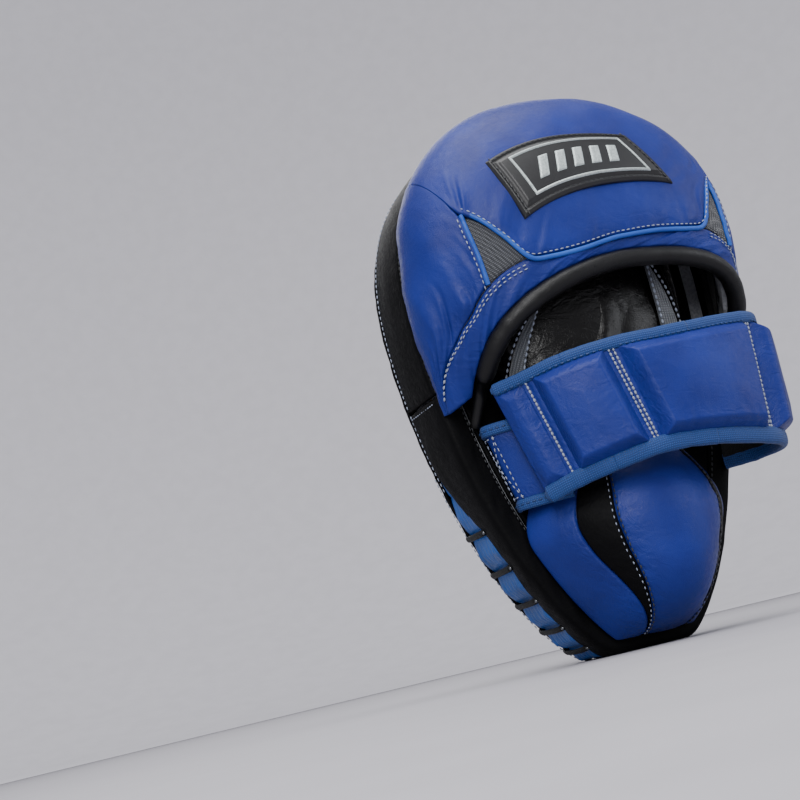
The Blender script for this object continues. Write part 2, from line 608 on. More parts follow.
def make_target():
    angles = np.linspace(0, 360, 400, endpoint=False)
    loops = [
        pear(PANEL, angles, 0, PANEL_Y - 0.6, 0.02),
        pear(PANEL, angles, 0, PANEL_Y - 0.6, 0.35),
        pear(PANEL, angles, 0, PANEL_Y - 0.5, 0.7),
        pear(PANEL, angles, -4, PANEL_Y - 0.3),
        pear(PANEL, angles, 1.5, PANEL_Y),
        lerp(pear(PANEL, angles, 0, -22.2), pear(CREST_IN, angles, 0, -22.2), 0.42),
        pear(CREST_IN, angles, -2, -27.8),
        lerp(pear(CREST_IN, angles, 0, -30.6), outline(angles, 15, -30.6), 0.5),
        outline(angles, 13, -29.4),
        outline(angles, 6.5, -26.6),
        outline(angles, 2.4, -23.2),
        outline(angles, 0.5, -20.8),
        outline(angles, 0, SEAM_Y + 0.2),
    ]
    steps = 84
    base = np.swapaxes(spline(loops, np.linspace(0, 1, steps + 1)), 0, 1)
    inside = (0, 0, 170)
    normals = normals_of(base, inside, wrap=True)
    along = lengths(np.vstack([base, base[:1]]), 0)[:-1]
    across = lengths(base, 1)
    stitched = np.argmin(np.abs(np.linspace(0, 12, steps + 1) - 4))
    from_seam = across[:, -1:] - across
    from_panel = np.abs(across - across[:, stitched : stitched + 1])
    lift = -0.75 * np.exp(-((from_panel / 1.3) ** 2))
    lift = lift + 0.35 * np.exp(-from_seam / 9) * noise(along[:, -1:] / 4.2, from_seam / 16, 3)
    puckers = noise(along[:, -1:] / 5.5, from_panel / 12, 9)
    lift = lift + 0.5 * np.exp(-from_panel / 9) * puckers * smooth(from_panel / 4)
    lift = lift - 0.5 * np.exp(-(((from_seam - 4.4) / 0.8) ** 2))
    lift = lift + 0.5 * noise(base[..., 0] / 34, base[..., 2] / 42, 5)
    outer = base + normals * lift[..., None]
    uv = np.stack([along, across], -1)
    edge = np.minimum(from_seam, from_panel + 2)
    cover = sheet_solid("cover_leather", outer, base - normals * 2, uv, edge, wrap=True)
    settle(cover, "mitt", ["target_cover"], BLACK_LEATHER)
    for index, gap in ((stitched, -1.5), (stitched, 1.6)):
        line = pear(PANEL, np.linspace(0, 360, 401), 0.6 + gap, PANEL_Y - 0.1)
        line[:, 1] += -0.35 if gap < 0 else -0.9
        stitch_row("mitt", "pale", line)
    ring = outline(np.linspace(0, 360, 401), 3.4, -23.4)
    stitch_row("mitt", "dark", ring)


def make_badge():
    """A six-sided printed badge: a blue plate, a white rim, and a plain diamond between two bars."""

    def hexagon(half_x, half_z, y, notch=14):
        corners = [(half_x, 0), (half_x - notch, half_z), (notch - half_x, half_z), (-half_x, 0),
                   (notch - half_x, -half_z), (half_x - notch, -half_z)]
        line = []
        for (x0, z0), (x1, z1) in zip(corners, corners[1:] + corners[:1]):
            line += [(lerp(x0, x1, s), y, 194 + lerp(z0, z1, s)) for s in (0.02, 0.5, 0.98)]
        return np.array(line)

    def plate(name, corners, thickness, nodes, material):
        centre = corners.mean(0)
        shoulder = corners + [0, -thickness * 0.8, 0]
        top = centre + (corners - centre) * 0.992 + [0, -thickness, 0]
        made = sweep(name, [corners, shoulder, top])
        made.data.polygons.foreach_set("use_smooth", [False] * len(made.data.polygons))
        return settle(made, "mitt", nodes, material)

    front = PANEL_Y - 1.3
    plate("badge_plate", hexagon(51, 20, front), 0.8, ["badge_base"], BADGE_BLUE)
    plate("badge_rim", hexagon(48, 17.6, front - 0.8), 0.5, ["badge_face"], BADGE_WHITE)
    plate("badge_field", hexagon(41, 12.6, front - 1.3, 10), 0.4, [], LABEL_RUBBER)
    shapes = {
        "badge_diamond": [(9, 0), (0, 9), (-9, 0), (0, -9)],
        "badge_bar_left": [(-14, 2.2), (-33, 2.2), (-35.5, 0), (-33, -2.2), (-14, -2.2), (-11.8, 0)],
        "badge_bar_right": [(33, 2.2), (14, 2.2), (11.8, 0), (14, -2.2), (33, -2.2), (35.5, 0)],
    }
    for name, corners in shapes.items():
        line = np.array([(x, front - 1.7, 194 + z) for x, z in corners], float)
        plate(name, line, 0.4, [], BADGE_WHITE)


# ---- side wall ----


def slot_opening(angle):
    return smooth(np.minimum(angle - LACING_START, LACING_END - angle) / 20)


def band_front(angle):
    return SEAM_Y + 0.6 + SLOT_WIDTH * slot_opening(angle)


def make_side_wall():
    inside = (0, 0, 150)

    def gusset(u, v):
        y = lerp(SEAM_Y + 0.3, BACK_Y - 0.3, v)
        return outline(lerp(GUSSET_START, GUSSET_END, u), 0.4 - 1.1 * np.sin(np.pi * v), y + 0 * u)

    made = panel("gusset_leather", gusset, (300, 22), inside, 1.8, 0.3, 0.3, 6, 4, 11)
    settle(made, "mitt", ["side_gusset"], BLACK_LEATHER)

    start, end = GUSSET_END + 0.25, 360 + GUSSET_START - 0.25

    def band(u, v):
        angle = lerp(start, end, u)
        front = band_front(angle)
        side = np.clip(v / 0.66, 0, 1)
        over = smooth((v - 0.56) / 0.2)
        lip = np.clip((v - 0.66) / 0.34, 0, 1)
        inset = 0.2 + over * 1.4 + lip * (LIP_WIDTH - 1.6)
        y = lerp(front, BACK_Y - 0.2, side) - 1.1 * (1 - over) * smooth((v - 0.4) / 0.2)
        return outline(angle, inset - 0.8 * np.sin(np.pi * side), y)

    def pleats(u, v, along_u, along_v, border):
        angle = lerp(start, end, u)
        wave = np.cos(2 * np.pi * (angle - 270) / LACE_STEP)
        pull = 0.5 * wave * slot_opening(angle) * np.exp(-along_v / 5)
        return -pull + 0.25 * noise(along_u / 9, along_v / 7, 4)

    made = panel("band_leather", band, (300, 36), inside, 1.8, 0.5, 0.25, 5, 4, 21, "lrbt", pleats)
    settle(made, "mitt", ["back_band"], BLACK_LEATHER)

    def under(u, v):
        angle = lerp(LACING_START - 1, LACING_END + 1, u)
        return outline(angle, 2.5, lerp(SEAM_Y + 1, SEAM_Y + SLOT_WIDTH + 3.4, v))

    def puffs(u, v, along_u, along_v, border):
        angle = lerp(LACING_START - 1, LACING_END + 1, u)
        phase = np.abs(((angle - 270) / LACE_STEP + 0.5) % 1 - 0.5) * 2
        rib = 0.22 * np.cos(2 * np.pi * (along_v / 3.6 + 0.35 * noise(along_u / 7, along_v / 5, 8)))
        rim = 0.5 * np.exp(-(((along_v - 2.6) / 1.1) ** 2)) + 0.5 * np.exp(-(((along_v - 20) / 1.1) ** 2))
        return (1.2 + 2.6 * slot_opening(angle)) * np.sqrt(phase) + rib * phase + rim * phase

    made = panel("lacing_underlay", under, (420, 40), inside, 1.2, 0, 0, 4, 3, 31, "bt", puffs)
    settle(made, "mitt", ["lace_underlay"], UNDERLAY)

    for first, last, y in (
        (GUSSET_START + 1, GUSSET_END - 0.5, SEAM_Y + 3.6),
        (start + 0.5, LACING_START + 6, SEAM_Y + 3.8),
        (LACING_END - 6, end - 0.5, SEAM_Y + 3.8),
    ):
        line = np.linspace(first, last, 220)
        stitch_row("mitt", "pale", outline(line, -0.4, y))
    across = np.linspace(SEAM_Y + 5, BACK_Y - 4, 12)
    for angle in (start + 0.9, end - 0.9):
        stitch_row("mitt", "pale", outline(np.full(12, angle), -0.7, across))
    line = np.linspace(LACING_START + 4, LACING_END - 4, 260)
    stitch_row("mitt", "pale", outline(line, -0.1, SEAM_Y - 0.8))
    line = np.linspace(start + 1, end - 1, 260)
    stitch_row("mitt", "dark", outline(line, LIP_WIDTH - 1.9, BACK_Y + 0.5))


def make_lacing():
    """Lace bars across the slot, each from the cover's edge to an eyelet in the back band.

    The places of the eyelets are returned."""
    knots = []
    bars = []
    for i in range(LACE_BARS):
        angle = 270 + (i - (LACE_BARS - 1) / 2) * LACE_STEP
        back = band_front(angle)
        lean = 0.5 * noise(i * 1.7, 3.1, 5)
        t = np.linspace(0, 1, 15)
        y = lerp(SEAM_Y - 1.6, back + 3.4, t)
        height = 0.3 + 1.3 * np.sin(np.pi * t) ** 0.6
        height = height - 1.5 * smooth((0.1 - t) / 0.1) - 1.2 * smooth((t - 0.93) / 0.07)
        path = outline(angle + lean * (t - 0.5), -height, y)
        normals = unit(outline(np.full(15, angle), -2, y) - outline(np.full(15, angle), 2, y))
        bars.append(cord_rings(path, normals, 1.7, 0.95, 10))
        knot = outline(np.full(2, angle + lean * 0.5), -0.6, np.array([back + 3.3, back + 3.6]))
        knot[:, 2] = np.maximum(knot[:, 2], 1.1)
        knots.append(knot)
    points = []
    faces = []
    for rings in bars:
        start = sum(len(p) for p in points)
        count, sides = rings.shape[:2]
        index = start + np.arange(count * sides).reshape(count, sides)
        index = np.hstack([index, index[:, :1]])
        a, b, c, d = index[:-1, :-1], index[1:, :-1], index[1:, 1:], index[:-1, 1:]
        faces += np.stack([a, b, c, d], -1).reshape(-1, 4).tolist()
        faces += [index[0, :-1].tolist(), index[-1, -2::-1].tolist()]
        points.append(rings.reshape(-1, 3))
    points = np.concatenate(points)
    uv = np.stack([points[:, 1], points[:, 2]], -1)
    made = make_mesh("lace_bars", points, faces, uv)
    settle(made, "mitt", ["lace"], LACE)
    return knots


# ---- hood ----

# How far below level the hood's feet reach round the rim in degrees, its base plane, and a point inside it.
FOOT = 21.6
HOOD_BASE_Y = BACK_Y + 0.4
HOOD_INSIDE = (0, 20, 165)


def fullness(f):
    return np.maximum(0, np.sin(np.pi * f)) ** 0.25 * smooth((0.5 - f) / 0.2)


def hood_base(f):
    rise = np.sin(np.pi * f)
    return outline(lerp(180 + FOOT, -FOOT, f), 1.5 + 2.5 * (1 - rise) ** 4, HOOD_BASE_Y)


def hood_arch(f):
    """The hood's free edge, an arch that leans a little towards -X as it rises."""
    rise = np.maximum(0, np.sin(np.pi * f))
    across = -signed_power(np.cos(np.pi * f), 0.75)
    y = 25 + 48 * rise**0.62
    lean = 5 * np.sqrt(rise) + 0.12 * (y - 25)
    x = (72 + 6 * np.sqrt(rise) + 8 * fullness(f)) * across - lean
    drop = 6 * np.maximum(0, -np.sin(2 * np.pi * f))
    return stack(x, y, 127 + 66 * rise**0.55 - drop)


def hood_surface(f, v):
    """Outer face of the hood: f runs along the rim from the -X foot to the +X foot, v from base to arch."""
    f, v = np.broadcast_arrays(np.asarray(f, float), np.asarray(v, float))
    base, arch = hood_base(f), hood_arch(f)
    rise = np.maximum(0, np.sin(np.pi * f))[..., None]
    outward = base * [1, 0, 1] - [0, 0, WIDEST_Z]
    bulge = 4 + 13 * np.sqrt(rise) + 8 * fullness(f)[..., None]
    low = base + unit(outward) * bulge
    low[..., 1] += ((0.72 + 0.14 * rise[..., 0]) * (arch[..., 1] - base[..., 1]))
    high = lerp(arch, base, 0.42)
    high[..., 1] = arch[..., 1] + 2 + 7 * rise[..., 0]
    v = v[..., None]
    return (1 - v) ** 3 * base + 3 * (1 - v) ** 2 * v * low + 3 * (1 - v) * v**2 * high + v**3 * arch


def through(pairs, value):
    """Interpolation through (value, result) pairs, with the corners rounded off."""
    x, y = [p[0] for p in pairs], [p[1] for p in pairs]
    return sum(np.interp(value + shift, x, y) for shift in np.linspace(-0.018, 0.018, 5)) / 5


# Lower edge of the crown: how far down it comes at each f. The edge is a gentle wave between the vents.
CROWN_EDGE = [(0.325, 0.87), (0.375, 0.912), (0.47, 0.935), (0.555, 0.95), (0.63, 0.925), (0.675, 0.88)]
# Seam between the side panel and the front band, from a vent's outer corner down to the hood's foot.
SIDE_EDGE = [(0.79, 0.83), (0.875, 0.8), (0.935, 0.66), (0.965, 0.34), (1.0, 0.05)]
VENT_TOP, VENT_INNER, VENT_OUTER = (0.738, 0.575), (0.675, 0.88), (0.79, 0.83)


def crown_edge(f):
    return through(CROWN_EDGE, f)


def side_edge(f):
    return through(SIDE_EDGE, f)


def vent_side(v, shoulder, corner, end):
    """f of one side of the +X vent at a height v; above the vent it is the seam of crown and side panel."""
    top = VENT_TOP[1]
    return through([(0, 0.744), (top - 0.03, 0.744), (top + 0.02, shoulder), corner[::-1], (1, end)], v)


def vent_inner(v):
    return vent_side(v, 0.733, VENT_INNER, 0.66)


def vent_outer(v):
    return vent_side(v, 0.748, VENT_OUTER, 0.83)


def mirrored(surface, side):
    """The +X side's surface, or the same one on the -X side."""
    if side == "left":
        return surface
    return lambda u, v: surface(u, v, True)


def on_hood(f, v, flip=False):
    return hood_surface(1 - f if flip else f, v)


def lifted(f, v, height):
    """Points on the hood at a height above its surface; f and v are equal-length rows."""
    f, v = np.asarray(f, float), np.asarray(v, float)
    d = 0.003
    du = hood_surface(f + d, v) - hood_surface(f - d, v)
    dv = hood_surface(f, v + d) - hood_surface(f, v - d)
    normal = unit(np.cross(du, dv))
    point = hood_surface(f, v)
    normal *= np.sign(np.sum(normal * (point - np.array(HOOD_INSIDE)), -1, keepdims=True))
    return point + normal * np.reshape(height, (-1, 1)), normal


def hidden_seam(u, v):
    """0 where the crown runs on into the side panels above the vents, 1 elsewhere."""
    return np.maximum(smooth((v - 0.56) / 0.06), smooth((0.03 - v) / 0.03)) + 0 * u


def make_hood():
    def crown(u, v):
        f = lerp(0.325, 0.675, u) + 0 * v
        for _ in range(4):
            height = v * crown_edge(f)
            f = lerp(1 - vent_inner(height), vent_inner(height), u)
        return hood_surface(f, height)

    def dimples(u, v, along_u, along_v, border):
        soft = 0.9 * noise(along_u / 38, along_v / 30, 5) + 0.3 * noise(along_u / 14, along_v / 11, 15)
        sag = -1.2 * np.exp(-(((along_u - along_u[-1:] * 0.5) / 46) ** 2)) * smooth(v * 1.6 - 0.4)
        folds = noise(along_u / 5.5 + 1.5 * noise(along_u / 19, along_v / 15, 6), along_v / 20, 16)
        near_vents = np.exp(-np.minimum(along_u, along_u[-1:] - along_u) / 16) * smooth((v - 0.35) / 0.3)
        return soft + sag + 1.5 * folds * near_vents * smooth(border / 5)

    made = panel("hood_crown_leather", crown, (170, 130), HOOD_INSIDE, 1.5, 1.6, 0.45, 8, 5, 41, "bt",
                 dimples, quiet=hidden_seam)
    settle(made, "mitt", ["hood_crown"], BLUE_LEATHER)

    def side(u, v, flip=False):
        f = lerp(0.79, 0.986, u) + 0 * v
        for _ in range(4):
            height = v * side_edge(f)
            f = lerp(vent_outer(height), 0.986, u)
        return on_hood(f, height, flip)

    def puckers(u, v, along_u, along_v, border):
        down = np.exp(-(((v - 0.95) / 0.28) ** 2))
        bend = 1.8 * noise(along_u / 20, along_v / 24, 2)
        ray = noise((along_u + 0.35 * along_v) / 6.5 + bend, along_v / 34, 61)
        ray = ray + 0.4 * noise((along_u + 0.35 * along_v) / 3.1 + bend, along_v / 22, 62)
        return 2.3 * ray * down * smooth(border / 6) + 1.1 * noise(along_u / 20, along_v / 26, 63)

    for name in ("left", "right"):
        made = panel(f"hood_side_leather_{name}", mirrored(side, name), (90, 120), HOOD_INSIDE, 1.5, 1.6,
                     0.45, 9, 5, 51, "bt", puckers, quiet=hidden_seam)
        settle(made, "mitt", [f"hood_side_{name}"], BLUE_LEATHER)

    def band_top(f):
        mirror = np.where(f < 0.5, 1 - f, f)
        vent = through([VENT_INNER, VENT_OUTER], mirror)
        outwards = np.where(mirror < VENT_OUTER[0], vent, side_edge(mirror))
        return np.where(mirror < VENT_INNER[0], crown_edge(f), outwards) + 0.006

    def front_band(u, v):
        f = lerp(0.014, 0.986, u)
        return hood_surface(f, lerp(band_top(f), 1.0, v))

    def band_folds(u, v, along_u, along_v, border):
        return 0.5 * noise(along_u / 12, along_v / 16, 71) + 0.35 * noise(along_u / 5, along_v / 14, 72)

    made = panel("hood_band_leather", front_band, (380, 22), HOOD_INSIDE, 1.5, 0.9, 0.4, 5, 4, 73, "bt",
                 band_folds)
    settle(made, "mitt", ["hood_front_band"], BLUE_LEATHER)

    def vent(u, v, flip=False):
        t = lerp(0.04, 1, v)
        left = lerp(VENT_TOP[0], VENT_INNER[0], t)
        right = lerp(VENT_TOP[0], VENT_OUTER[0], t)
        height = lerp(VENT_TOP[1], lerp(VENT_INNER[1], VENT_OUTER[1], u), t)
        return on_hood(lerp(left, right, u), height, flip)

    def ribs(u, v, along_u, along_v, border):
        return -0.5 + 0.45 * np.abs(np.cos(np.pi * 8 * u))

    for name in ("left", "right"):
        made = panel(f"hood_vent_knit_{name}", mirrored(vent, name), (96, 30), HOOD_INSIDE, 0.9, 0, 0, 4, 3,
                     81, "lrbt", ribs, 0)
        settle(made, "mitt", [f"vent_{name}"], KNIT)

    # Folded edges: down both upper sides of each vent, and along the crown's wavy lower edge.
    def flipped(points):
        return [(1 - f, v) for f, v in points]

    outer_side = [(0.741, 0.56), (0.752, 0.62), (0.77, 0.73), VENT_OUTER]
    wave = [(f, v + 0.004) for f, v in CROWN_EDGE]
    inner_side = [(0.735, 0.56), (0.72, 0.64), (0.7, 0.76), VENT_INNER]
    crown_route = flipped(inner_side)[:-1] + wave + inner_side[::-1][1:]
    # Each fold's route, and how far its row of stitches lies from it in f and in v.
    routes = {
        "hood_fold_crown": (crown_route, 0, -0.02),
        "hood_fold_left": (outer_side, 0.011, 0),
        "hood_fold_right": (flipped(outer_side), -0.011, 0),
    }
    for name, (route, shift_f, shift_v) in routes.items():
        line = spline(np.array(route), np.linspace(0, 1, 30 * len(route)))
        height = 0.9 + 0.25 * noise(np.arange(len(line)) / 9, 0.5, 7)
        path, normal = lifted(line[:, 0], line[:, 1], height)
        made = sweep(name, cord_rings(path, normal, 1.25, 1.15, 10))
        settle(made, "mitt", [], FOLDED_LEATHER)
        line = spline(np.array(route), np.linspace(0.02, 0.98, 20 * len(route)))
        f, v = line[:, 0] + shift_f, line[:, 1] + shift_v
        # The leather swells away from its lower edge, and the stitches lie on it.
        edge = crown_edge(f) if name == "hood_fold_crown" else side_edge(np.maximum(f, 1 - f))
        height = 0.45 + 1.6 * (1 - np.exp(-23 * np.maximum(edge - v, 0)))
        stitch_row("mitt", "pale", lifted(f, v, height)[0])

    for flip in (False, True):
        f = np.linspace(0.695, 0.975, 90)
        mirror = 1 - f if flip else f
        for shift in (0.02, 0.036):
            stitch_row("mitt", "pale", lifted(mirror, band_top(mirror) + shift, 0.9)[0])
    f = np.linspace(0.02, 0.98, 300)
    stitch_row("mitt", "dark", lifted(f, np.full(300, 0.012), 1.1)[0])

    def lining(u, v):
        f = lerp(0.02, 0.98, u)
        padded = smooth(np.sin(np.pi * f) / 0.45) * smooth(v / 0.2 + 0.35) * smooth((1.15 - v) / 0.3)
        surface = hood_surface(f, lerp(0.03, 0.97, v))
        return surface - normals_of(surface, HOOD_INSIDE) * (6.6 + 7.6 * padded)[..., None]

    made = panel("hood_lining_cloth", lining, (120, 40), HOOD_INSIDE, 0.8, 0, 0.2, 9, 6, 91)
    settle(made, "mitt", ["hood_lining"], LINING)

    f = np.linspace(0.004, 0.996, 200)
    edge = unit(hood_arch(np.minimum(1, f + 0.004)) - hood_arch(np.maximum(0, f - 0.004)))
    along = hood_surface(f, np.ones(200)) - hood_surface(f, np.full(200, 0.96))
    along = unit(along - edge * np.sum(along * edge, -1, keepdims=True))
    path = hood_arch(f) + along * 4.6
    path[:, 1] = np.maximum(path[:, 1], HOOD_BASE_Y + 3.8)
    feet = [path[0] + [-4, -3, -9], path[-1] + [2, -3, -9]]
    path = np.vstack([feet[0], path[0] + [-2, -0.5, -4], path[6:-6], path[-1] + [1, -0.5, -4], feet[1]])
    path = spline(path, np.linspace(0, 1, 260))
    along = np.vstack([along[:1], along[:1], along[6:-6], along[-1:], along[-1:]])
    along = unit(spline(along, np.linspace(0, 1, 260)))
    t = np.linspace(0, 1, 260)
    radius = (4.9 + 0.2 * noise(t * 40, 0.3, 3)) * lerp(0.55, 1, smooth(np.minimum(t, 1 - t) / 0.03))
    made = sweep("arch_roll", cord_rings(path, along, radius, radius, 20))
    settle(made, "mitt", ["arch_trim"], TRIM_LEATHER)


def make_label():
    """A moulded patch on the crown: black base with a step, a silver frame and five plain slanted bars."""
    corners = np.array([[(0.655, 0.5), (0.652, 0.765)], [(0.43, 0.545), (0.375, 0.735)]])
    table = np.linspace(0.34, 0.68, 400)
    run = lengths(hood_surface(table, np.full(400, 0.64)), 0)
    even = table[0] + (table[-1] - table[0]) * run / run[-1]

    def patch(u, v):
        low = lerp(corners[0, 0], corners[1, 0], u[..., None] + 0 * v[..., None])
        high = lerp(corners[0, 1], corners[1, 1], u[..., None] + 0 * v[..., None])
        place = lerp(low, high, v[..., None] + 0 * u[..., None])
        return np.interp(place[..., 0], even, table), place[..., 1]

    def piece(name, u0, u1, v0, v1, bottom, top, material, slot, nodes=(), slant=0.0, steps=(60, 24),
              extra=None):
        def face(u, v):
            across = lerp(u0, u1, u) + slant * (v - 0.5)
            f, height = patch(across, lerp(v0, v1, v) + 0 * u)
            surface = hood_surface(f, height)
            return surface + normals_of(surface, HOOD_INSIDE) * top

        made = panel(name, face, steps, HOOD_INSIDE, top - bottom, 0, 0, 4, 3, 1, "lrbt", extra, 0.6)
        return settle(made, "mitt", list(nodes), material)

    def step(u, v, along_u, along_v, border):
        rise = 0.5 * smooth((border - 1.2) / 0.5) - 0.9 * np.exp(-(((border - 3.4) / 0.7) ** 2))
        return rise + 0.8 * smooth((border - 5.2) / 0.6)

    piece("label_patch", 0, 1, 0, 1, 0.4, 2.6, LABEL_RUBBER, "label_rubber", ["label_base"], 0, (110, 60),
          step)
    u0, u1, v0, v1 = 0.12, 0.88, 0.17, 0.85
    sides = {
        "label_frame_upper": (u0, u1, v0, v0 + 0.055),
        "label_frame_lower": (u0, u1, v1 - 0.055, v1),
        "label_frame_left": (u0, u0 + 0.022, v0, v1),
        "label_frame_right": (u1 - 0.022, u1, v0, v1),
    }
    for name, box in sides.items():
        nodes = ["label_plate"] if name == "label_frame_upper" else []
        piece(name, *box, 3.0, 4.6, LABEL_SILVER, "label_plate", nodes)
    for i in range(5):
        centre = lerp(0.27, 0.73, i / 4)
        piece(f"label_bar_{i + 1}", centre - 0.035, centre + 0.035, 0.34, 0.68, 3.0, 4.5, LABEL_SILVER,
              "label_plate", (), -0.08, (10, 14))
    t = np.linspace(0.03, 0.97, 40)
    ones = np.ones(40)
    for u, v in ((t, 0.072 * ones), (t, 0.928 * ones), (0.035 * ones, t), (0.965 * ones, t)):
        f, height = patch(u, v)
        stitch_row("mitt", "dark", lifted(f, height, 2.7)[0])


# ---- glove ----


def glove_surface(u, v):
    angle = np.pi * u
    half = lerp(50, 62, smooth(v / 0.7))
    x = half * np.cos(angle) - 3
    return stack(x, BACK_Y + 2 + 31 * np.maximum(0, np.sin(angle)) ** 0.8, lerp(108.5, 214, v))


def make_glove():
    inside = (0, 0, 160)

    def folds(u, v, along_u, along_v, border):
        bend = 1.6 * noise(along_u / 30, along_v / 34, 3)
        long_folds = noise(along_u / 13 + bend, along_v / 60, 101)
        short_folds = noise(along_u / 24, along_v / 15 + bend, 102)
        small = noise(along_u / 6.5 + bend, along_v / 22, 103)
        return 2.7 * long_folds + 1.4 * short_folds + 0.7 * small - 1.7

    made = panel("glove_leather", glove_surface, (200, 110), inside, 1.6, 0, 0.6, 8, 5, 104, "bt", folds)
    settle(made, "mitt", ["finger_glove"], GLOVE_LEATHER)

    for name, low, high, bottom, top in (("left", 0.06, 0.31, 0.2, 0.65), ("right", 0.73, 0.67, 0.42, 0.8)):
        def middle(v, low=low, high=high):
            return lerp(low, high, v)

        def leaf(u, v, middle=middle, bottom=bottom, top=top):
            width = 0.1 * (1 - v) ** 0.7
            surface = glove_surface(middle(v) + (u - 0.5) * width, lerp(bottom, top, v))
            return surface + normals_of(surface, inside) * 2.1

        def ribs(u, v, along_u, along_v, border):
            return 0.3 * np.abs(np.cos(np.pi * 7 * u)) - 0.2

        made = panel(f"glove_knit_{name}", leaf, (60, 40), inside, 1.2, 0, 0, 4, 3, 111, "lr", ribs)
        settle(made, "mitt", [f"glove_gusset_{name}"], GLOVE_KNIT)
        v = np.linspace(0.06, 0.98, 60)
        for side in (-0.5, 0.5):
            width = 0.106 * (1 - v) ** 0.7
            u = middle(v) + side * width
            line = glove_surface(u, lerp(bottom, top, v))
            angle = np.pi * u
            normal = unit(stack(np.cos(angle) * 0.6, np.sin(angle), 0 * u))
            stitch_row("mitt", "bold", line + normal * 2.9)


# ---- heel cushion ----

CUSHION_Z, CUSHION_REACH, CUSHION_HEIGHT, CUSHION_SIDE = 58, 51, 46, 9


def cushion(s, z):
    """The cushion's dome: s runs across from -1 at -X to 1 at +X."""
    across = (WIDEST_Z - z) / HEEL_REACH
    half = HALF_WIDTH * (1 - across**HEEL_POWER) ** (1 / HEEL_POWER) - CUSHION_SIDE
    half = half * (1 - 0.45 * smooth((z - CUSHION_Z) / CUSHION_REACH))
    far = np.abs(z - CUSHION_Z) / CUSHION_REACH
    rise = np.maximum(0, 1 - far ** np.where(z < CUSHION_Z, 2.8, 2.0)) ** 0.5
    crown = np.maximum(0, 1 - s * s) ** 0.8
    y = BACK_Y + 1.6 + CUSHION_HEIGHT * rise * crown
    return stack(half * s - 3 * rise * (1 - s * s), y, z)


def leaf_width(v):
    """Width of a dart in s: a leaf that is widest under the strap and comes to a point at the heel."""
    return 0.01 + 0.25 * np.sin(np.pi * np.clip(v / 1.25, 0, 1)) ** 0.9


def centre_left(v):
    """s of the centre panel's edge on the +X side."""
    return 0.5 - 0.1 * np.abs(v - 0.4)


def centre_right(v):
    return -0.64 + 0.1 * np.abs(v - 0.4)


def dart_left(v):
    """s of the outer edge of the dart on the +X side."""
    return centre_left(v) + leaf_width(v)


def dart_right(v):
    return centre_right(v) - 0.7 * leaf_width(v)


def rim_left(v):
    return 1 + 0 * v


def rim_right(v):
    return -1 + 0 * v


def cushion_height(v):
    """Height z of a row of the cushion, evenly spaced along its curve."""
    return CUSHION_Z - CUSHION_REACH * 0.998 * np.cos(np.pi * np.clip(v, 0, 1))


def row_share(z):
    """The share of the cushion's length at a height, as its seams use it."""
    return (z - CUSHION_Z + CUSHION_REACH) / (2 * CUSHION_REACH)


def make_cushion():
    u, v = np.linspace(0, 1, 34)[:, None], np.linspace(0.02, 0.98, 32)[None, :]
    dome = cushion(lerp(-0.98, 0.98, u), cushion_height(v) + 0 * u)
    heights = swelling("cushion_cloth", dome, (0, 0, 60), 5)

    def swell(s, v):
        place = cushion(s, cushion_height(v))
        outward = unit(place - np.array([0, 0, 60]))
        return outward * sampled(heights, (s + 1) / 2, v)[..., None]

    # Each panel's borders, colour, sewn sides, steps across and puff.
    borders = {
        "heel_side_left": (dart_left, rim_left, "blue", "l", 46, 0.8),
        "heel_dart_left": (centre_left, dart_left, "black", "lr", 46, 0.8),
        "heel_centre_panel": (centre_right, centre_left, "blue", "lr", 120, 1.1),
        "heel_dart_right": (dart_right, centre_right, "black", "lr", 46, 0.8),
        "heel_side_right": (rim_right, dart_right, "blue", "r", 46, 0.8),
    }
    for k, (name, (low, high, colour, seams, steps, puff)) in enumerate(borders.items()):
        def face(u, v, low=low, high=high):
            z = cushion_height(v)
            share = row_share(z)
            s = lerp(low(share), high(share), u)
            surface = cushion(s, z + 0 * u)
            return surface + swell(s, v + 0 * u)

        def relief(u, v, along_u, along_v, border):
            return 0.5 * noise(along_u / 24, along_v / 22, 121)

        made = panel(name + "_leather", face, (steps, 110), (0, 0, 60), 1.5, puff, 0.4, 7, 4.5, 122 + k,
                     seams, relief)
        material = BLUE_LEATHER if colour == "blue" else BLACK_LEATHER
        settle(made, "mitt", [name], material)
    v = np.linspace(0.06, 0.94, 90)
    z = cushion_height(v)
    share = row_share(z)
    for s, thread in ((centre_left(share) - 0.018, "dark"), (centre_left(share) + 0.02, "fine"),
                      (centre_right(share) + 0.018, "dark")):
        line = cushion(s, z) + swell(s, v)
        normal = unit(line - np.array([0, 20, 60]))
        stitch_row("mitt", thread, line + normal * 1.0)


# ---- strap ----


def strap_surface(u, v):
    """u runs along the strap, v from its upper edge to its lower one."""
    u, v = np.broadcast_arrays(np.asarray(u, float), np.asarray(v, float))
    return lerp(spline(STRAP_LOWER, u), spline(STRAP_UPPER, u), 1 - v[..., None])


STRAP_INSIDE = (0, 15, 118)


def on_strap(u, v, height):
    """Points at a height above the strap's surface; u and v are equal-length rows."""
    d = 0.004
    du = strap_surface(np.minimum(u + d, 1), v) - strap_surface(np.maximum(u - d, 0), v)
    dv = strap_surface(u, v + d) - strap_surface(u, v - d)
    normal = unit(np.cross(du, dv))
    point = strap_surface(u, v)
    normal = normal * np.sign(np.sum(normal * (point - np.array(STRAP_INSIDE)), -1, keepdims=True))
    return point + normal * np.reshape(height, (-1, 1)), normal


def pad_profile(border, height):
    """Height of a foam-filled block above its base at a distance from its border."""
    return 1.0 + (height - 1.0) * smooth(border / 7.2) ** 0.8 + 0.9 * smooth((border - 5) / 18)


